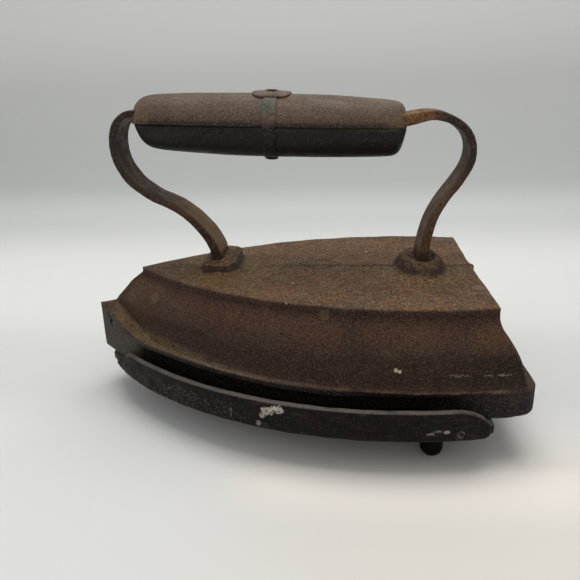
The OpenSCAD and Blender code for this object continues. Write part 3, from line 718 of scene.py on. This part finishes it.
def saddle(material):
    """Saddle plate with rounded corners, a soft edge and a low swelling round its rivet."""
    long, wide = 8.2, math.radians(31.5)
    rings, around = 12, 64
    rows = []
    for layer in (0, 1):
        steps = range(rings + 1) if layer == 0 else range(rings, -1, -1)
        for i in steps:
            reach = 0.02 + 0.98 * i / rings
            row = []
            for k in range(around):
                turn = 2 * math.pi * k / around
                c, s = math.cos(turn), math.sin(turn)
                grow = reach / (abs(c) ** 4 + abs(s) ** 4) ** 0.25
                x, angle = long * grow * c, wide * grow * s
                if layer == 0:
                    edge = smooth(0.86, 1.0, reach)
                    radius = PLATE_RISE - 0.03 - 0.3 * edge - 0.25 * smooth(3.0, 8.0, abs(x))
                else:
                    radius = BAND_RISE + 0.06 - 0.42 * smooth(3.0, 3.8, abs(x))
                row.append(on_band(angle, radius, x))
            rows.append(row)
    obj = loft("grip_saddle", rows)
    where = read(obj.data) / MM
    push = ripple(where, 3.0) * 0.07 - 0.05
    write(obj.data, (where + read(obj.data, "normal") * push[:, None]) * MM)
    return place_of(obj, "grip_top_plate", "iron", material)


def grip_rivet(material):
    """Rivet with a low domed head on the saddle plate and a clinched end under the band."""
    low, high = -BAND_RISE - 0.63, PLATE_RISE + 0.5
    profile = [(low, 0.0), (low, 1.8), (low + 0.25, 2.7)]
    profile += [(-BAND_RISE - 0.06, 2.9), (-BAND_RISE - 0.04, 1.95)]
    profile += [(PLATE_RISE + 0.03, 1.95), (PLATE_RISE + 0.05, 3.1)]
    profile += [(high - 0.3, 2.7), (high - 0.08, 1.8), (high, 0.0)]
    rows = []
    for z, r in profile:
        rows.append([
            GRIP_MIDDLE + ALONG * (BAND_SHIFT + r * math.cos(a)) + ACROSS * r * math.sin(a) + ABOVE * z
            for a in np.linspace(0, 2 * math.pi, 40, endpoint=False)
        ])
    obj = loft("grip_rivet_pin", rows)
    return place_of(obj, "grip_rivet", "iron", material)


# ---------------------------------------------------------------- body
def boss_gap(x, y, boss, power):
    """Rough distance outside the outline of a boss, in millimetres; a higher power is squarer."""
    middle_x, middle_y, half_x, half_y = boss
    across, along = np.abs((x - middle_x) / half_x), np.abs((y - middle_y) / half_y)
    reach = (across ** power + along ** power) ** (1 / power)
    return (reach - 1) * (half_x + half_y) / 2


def body_shape(p, normals):
    """Casting faults and wear of the body, in millimetres."""
    p = p.copy()
    x, y, z = p.T.copy()
    on_deck = smooth(DECK_Z - 2.5, DECK_Z - 0.5, z) * (normals[:, 2] > -0.2)
    front = boss_gap(x, y, FRONT_BOSS, 3.2)
    rear = boss_gap(x, y, REAR_BOSS, 2.2)
    fillet = 1.5 * bell(np.maximum(front, 0) / 2.4) * (z < REAR_BOSS_Z - 2.0)
    p[:, 2] += on_deck * fillet * (1 - smooth(DECK_Z + 1, DECK_Z + 4, z))
    for gap in (front, rear):
        lumps = ripple(np.stack([x, y, z], 1), 2.4, gap.mean() * 0.1) * 0.28
        p[:, 2] += lumps * on_deck * smooth(6.0, 1.0, gap)
    # The upright side of the rear boss is spread into a soft slope that runs out on the deck.
    high = REAR_BOSS_Z - DECK_Z
    part_up = np.clip((z - DECK_Z) / high, 0, 1)
    spread = 1.7 * smooth(6.0, 0.0, np.abs(rear)) * (1 - 2 * part_up) * on_deck
    middle_x, middle_y, half_x, half_y = REAR_BOSS
    out = np.stack([(x - middle_x) / half_x ** 2, (y - middle_y) / half_y ** 2], 1)
    out /= np.maximum(np.linalg.norm(out, axis=1), 1e-9)[:, None]
    p[:, :2] += out * spread[:, None]
    slope = high * smooth(2.6, -3.8, rear + spread)
    p[:, 2] += (slope - high * part_up) * on_deck * (rear > -7.5) * (rear < 6.5)
    # Its top is a low worn ring, dished where the strap goes in.
    crown = smooth(REAR_BOSS_Z - 2.0, REAR_BOSS_Z - 0.2, z) * (np.abs(x - REAR_FOOT_X) < 16)
    p[:, 2] += crown * (0.7 * bell((rear + 4.6) / 1.8) - 0.4 * smooth(-3.2, -1.5, rear))
    p[:, 2] -= crown * smooth(9.5, 6.0, np.hypot((x - REAR_FOOT_X) * 1.5, y))
    crown = smooth(FRONT_BOSS_Z - 3.0, FRONT_BOSS_Z - 0.5, z) * (np.abs(x - FRONT_FOOT_X) < 14)
    p[:, 2] -= crown * 0.6 * smooth(-5.5, -2.5, front)
    p[:, 2] -= crown * 0.7 * bell((y + 6.0) / 6.0)
    # The prow block rises toward the ridge.
    block = smooth(PROW_X, -86.0, x) * smooth(-72.0, -80.0, x) * smooth(LIP_Z + 2, PROW_Z - 1, z)
    p[:, 2] += 1.5 * block
    # The two mould halves met a little out of line, which leaves a step along the deck.
    past = smooth(-30.0, -24.0, x)
    p[:, 2] += on_deck * past * 0.3 * (smooth(-0.4, 0.7, y) * smooth(12.0, 2.0, np.abs(y)))
    # Flash knob at the rear end of the seam.
    knob = bell(np.sqrt((x - DECK_REAR_X) ** 2 + (y * 0.7) ** 2 + (z - DECK_Z + 0.5) ** 2) / 1.6)
    p[:, 0] += knob * 0.9
    p[:, 2] += knob * 0.5
    # The flared side swells a little at mid height near the heel, under a slight neck.
    aft = smooth(20.0, 84.0, x)
    height = (z - LIP_Z) / (DECK_Z - LIP_Z)
    flank = (1 - smooth(0.55, 0.9, normals[:, 2])) * (height > 0.04) * (height < 0.97)
    swell = (0.95 * bell((height - 0.45) / 0.2) * aft - 0.5 * bell((height - 0.86) / 0.09)) * flank
    p += normals * swell[:, None]
    # The two rear corners of the deck stand out a little.
    corner = 0.8 * smooth(72.0, 80.0, x) * smooth(DECK_Z - 9, DECK_Z - 3, z)
    p[:, 0] += corner * smooth(8.0, 50.0, np.abs(y))
    # The lip over the long recess rises toward the prow.
    p[:, 2] += LIP_LIFT * smooth(8.0, -66.0, x) * bell((z - LIP_Z) / 4.5)
    # The slab lip rises toward the heel.
    p[:, 2] += 0.9 * smooth(50.0, 95.0, x) * bell((z - LIP_Z - 0.3) / 3.2)
    # The heel of the sole is rubbed away a little, and nothing grows past the outline.
    rubbed = 1.3 * smooth(80.0, HEEL_X, x) * smooth(LIP_Z - 2.5, SOLE_Z, z)
    p[:, 2] += rubbed * (z < LIP_Z) * (np.abs(y) > 5)
    p[:, 0] = np.clip(p[:, 0], PROW_X + 0.05, HEEL_X - 0.05)
    # Blow holes low on the near side of the prow.
    for (cx, cy, cz), r, deep in BLOW_HOLES:
        hole = bell(np.sqrt((x - cx) ** 2 + (y - cy) ** 2 + ((z - cz) * 0.7) ** 2) / r) * deep
        p += np.stack([hole * 0.7, hole * 0.7, hole * 0], 1)
    return p


def build():
    body = cast_iron_body()
    strap = strap_iron()
    upper = shell_paint("grip_shell_brown", dark=False)
    lower = shell_paint("grip_shell_black", dark=True)
    band = band_metal()
    trivet = trivet_iron()
    foot = foot_iron()
    rivet = rivet_iron()
    wood = packing_wood()

    worn(
        "body_casting", "iron_body", "iron", body, 0.62, 3, 0.03, 0.3, 13.0,
        shape=body_shape, most=186000,
    )
    worn("handle_strap", "iron_strap", "iron", strap, 0.45, 4, 0.12, 0.22, 7.0)
    grip_shell("grip_upper", "grip_upper_shell", 1, upper)
    grip_shell("grip_lower", "grip_lower_shell", -1, lower)
    grip_band(band)
    saddle(band)
    grip_rivet(rivet)
    for side in ("left", "right"):
        rail, peg = f"rail_{side}", f"foot_rear_{side}"
        worn("trivet_" + rail, rail, "trivet", trivet, 0.45, 6, 0.15, 0.22, 8.0)
        worn("trivet_" + peg, peg, "trivet", foot, 0.35, 3, 0.0, 0.1, 4.0)
    worn("trivet_foot_front", "foot_front", "trivet", foot, 0.35, 3, 0.0, 0.1, 4.0)
    worn("trivet_plate", "trivet_boat", "trivet", trivet, 0.7, 4, 0.05, 0.2, 16.0)
    for node, material in (
        ("grip_packing_upper", wood),
        ("grip_packing_lower", wood),
        ("rail_rivets_left", trivet),
        ("rail_rivets_right", trivet),
    ):
        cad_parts[node].data.materials.clear()
        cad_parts[node].data.materials.append(material)


# ---------------------------------------------------------------- stage
def sweep():
    """A pale paper sweep: a flat floor that curves up into a backdrop behind the object."""
    half, front, back, bend, top = 2.5, -2.0, 0.34, 0.14, 1.6
    line = [(front, 0.0), (back, 0.0)]
    turns = np.linspace(0, math.pi / 2, 17)[1:]
    line += [(back + bend * math.sin(a), bend * (1 - math.cos(a))) for a in turns]
    line += [(back + bend, top)]
    mesh = bpy.data.meshes.new("paper_sweep")
    points = [(x, y, z) for y, z in line for x in (-half, half)]
    faces = [(2 * i, 2 * i + 1, 2 * i + 3, 2 * i + 2) for i in range(len(line) - 1)]
    mesh.from_pydata(points, [], faces)
    mesh.shade_smooth()
    obj = bpy.data.objects.new("paper_sweep", mesh)
    bpy.context.scene.collection.objects.link(obj)
    s = Shade("paper_pale", rough=0.85, specular=0.2)
    tone = s.noise(300, 2, 0.5)
    x, y, z = s.xyz["X"], s.xyz["Y"], s.xyz["Z"]
    colour = s.mix(s.grade(tone, 0.3, 0.7), lin(226, 226, 223), lin(230, 230, 227))
    # Painted light falloff: the floor darkens toward the back and the backdrop toward its foot.
    colour = s.mix(s.span(y, 180, 360), colour, lin(206, 207, 205))
    wall_light_falloff = s.mix(s.span(z, 40, 220), lin(184, 185, 183), lin(216, 216, 213))
    colour = s.mix(s.span(z, 1, 30), colour, wall_light_falloff)
    # Painted shade: a darker pool on the floor around the object.
    pool_shade = s.times(s.span(y, -50, -5), s.span(y, 95, 30), s.span(z, 4, 1))
    colour = s.mix(s.times(pool_shade, 0.6), colour, lin(212, 212, 209))
    # Painted bounce light: a warm tint on the floor in front of the object.
    warm_bounce_light = s.times(s.span(x, -60, 40), s.span(y, -20, -75), s.span(y, -210, -110))
    colour = s.mix(s.times(warm_bounce_light, 0.45), colour, lin(232, 219, 204))
    # The paper is paler in a strip in front of the near rail, where the shadow would be too dark.
    glow = s.times(s.span(x, -35, 5), s.span(x, 150, 80))
    glow = s.times(glow, s.span(y, -62, -72), s.span(y, -104, -76))
    obj.data.materials.append(s.finish(s.mix(glow, colour, lin(248, 241, 231))))


def lamp(name, place, aim, size, power, colour=(1, 1, 1)):
    light = bpy.data.lights.new(name, "AREA")
    light.shape = "DISK"
    light.size = size
    light.energy = power
    light.color = colour
    obj = bpy.data.objects.new(name, light)
    obj.location = place
    obj.rotation_euler = (Vector(aim) - Vector(place)).to_track_quat("-Z", "Y").to_euler()
    bpy.context.scene.collection.objects.link(obj)


def camera():
    """A camera at CAMERA_PLACE, turned round the object, looking down and rolled a little."""
    azimuth, height, roll = (math.radians(v) for v in CAMERA_ANGLES)
    level = Vector((math.sin(azimuth), -math.cos(azimuth), 0))
    back = level * math.cos(height) + Vector((0, 0, math.sin(height)))
    right = Vector((math.cos(azimuth), math.sin(azimuth), 0))
    up = back.cross(right)
    tilted_up = up * math.cos(roll) - right * math.sin(roll)
    tilted_right = right * math.cos(roll) + up * math.sin(roll)
    data = bpy.data.cameras.new("camera")
    data.sensor_width = 36
    data.lens = CAMERA_LENS
    data.clip_start = 0.01
    obj = bpy.data.objects.new("camera", data)
    bpy.context.scene.collection.objects.link(obj)
    turn = Matrix((tilted_right, tilted_up, back)).transposed().to_4x4()
    obj.matrix_world = Matrix.Translation(CAMERA_PLACE) @ turn
    bpy.context.scene.camera = obj


def surroundings():
    world = bpy.data.worlds.new("studio")
    bpy.context.scene.world = world
    world.use_nodes = True
    background = world.node_tree.nodes["Background"]
    background.inputs["Color"].default_value = (0.95, 0.97, 1.0, 1)
    background.inputs["Strength"].default_value = 0.5
    lamp("softbox_above", (0.05, 0.14, 0.95), (0.02, 0.05, 0), 0.8, 5.5, (1.0, 0.99, 0.97))
    lamp("fill_left", (-0.9, -0.5, 0.6), (0, 0, 0.05), 0.5, 0.8)


build()
sweep()
camera()
surroundings()
bpy.context.scene.view_settings.view_transform = "Standard"
bpy.context.scene.view_settings.look = "None"
